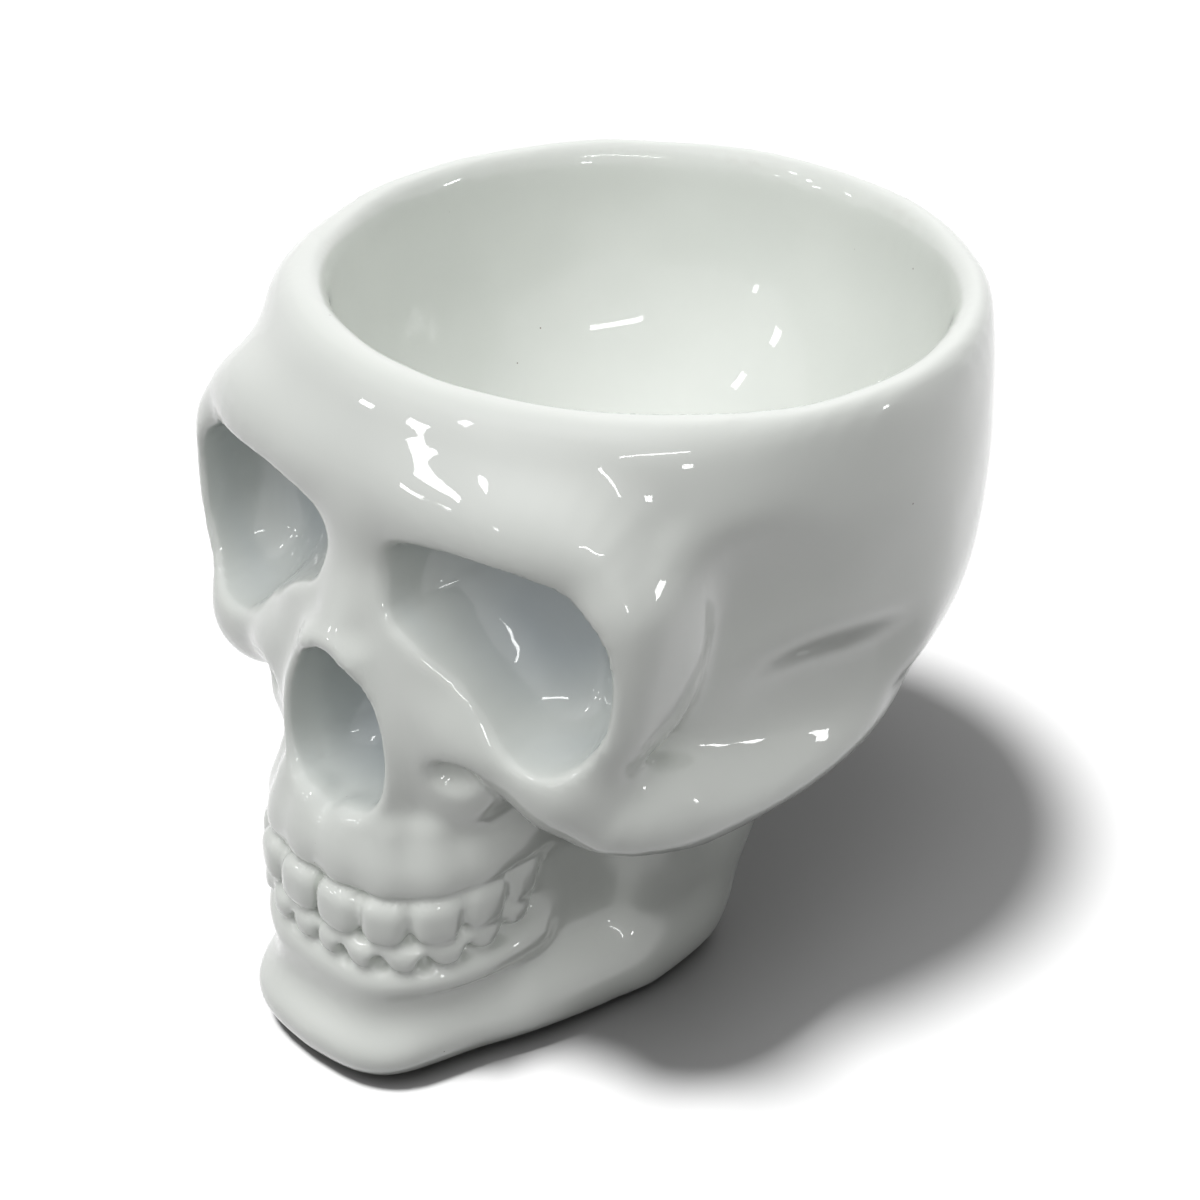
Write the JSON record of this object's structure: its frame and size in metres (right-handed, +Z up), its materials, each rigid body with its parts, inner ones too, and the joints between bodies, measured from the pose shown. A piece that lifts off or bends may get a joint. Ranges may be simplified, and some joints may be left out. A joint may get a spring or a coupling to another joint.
{
  "type": "halloween skull decoration",
  "caption": "Hollow glazed ceramic skull standing on its jaw, with an open cranium bowl, deep eye sockets and bared teeth, felt foot pads and a soft stopper in the vent underneath.",
  "frame": {"origin": "on the floor under the middle of the skull's box", "axes": "+Z up, the face looks along -Y, +X towards the skull's own left"},
  "size_m": [0.1158, 0.144, 0.123],
  "materials": {
    "shell_glaze": "clear gloss glaze over off-white slip",
    "bowl_glaze": "clear gloss glaze over off-white slip",
    "stopper_silicone": "matt translucent silicone",
    "pad_felt": "pressed wool felt"
  },
  "bodies": {
    "skull": {"skull_shell": "shell_glaze", "bowl_liner": "bowl_glaze", "foot_pad_1": "pad_felt", "foot_pad_2": "pad_felt", "foot_pad_3": "pad_felt", "foot_pad_4": "pad_felt"},
    "stopper": {"vent_stopper": "stopper_silicone"}
  },
  "joints": [
    {"name": "stopper_pull", "type": "slide", "parent": "skull", "child": "stopper", "axis": [0, 0, -1], "range_m": [0, 0.012]}
  ]
}
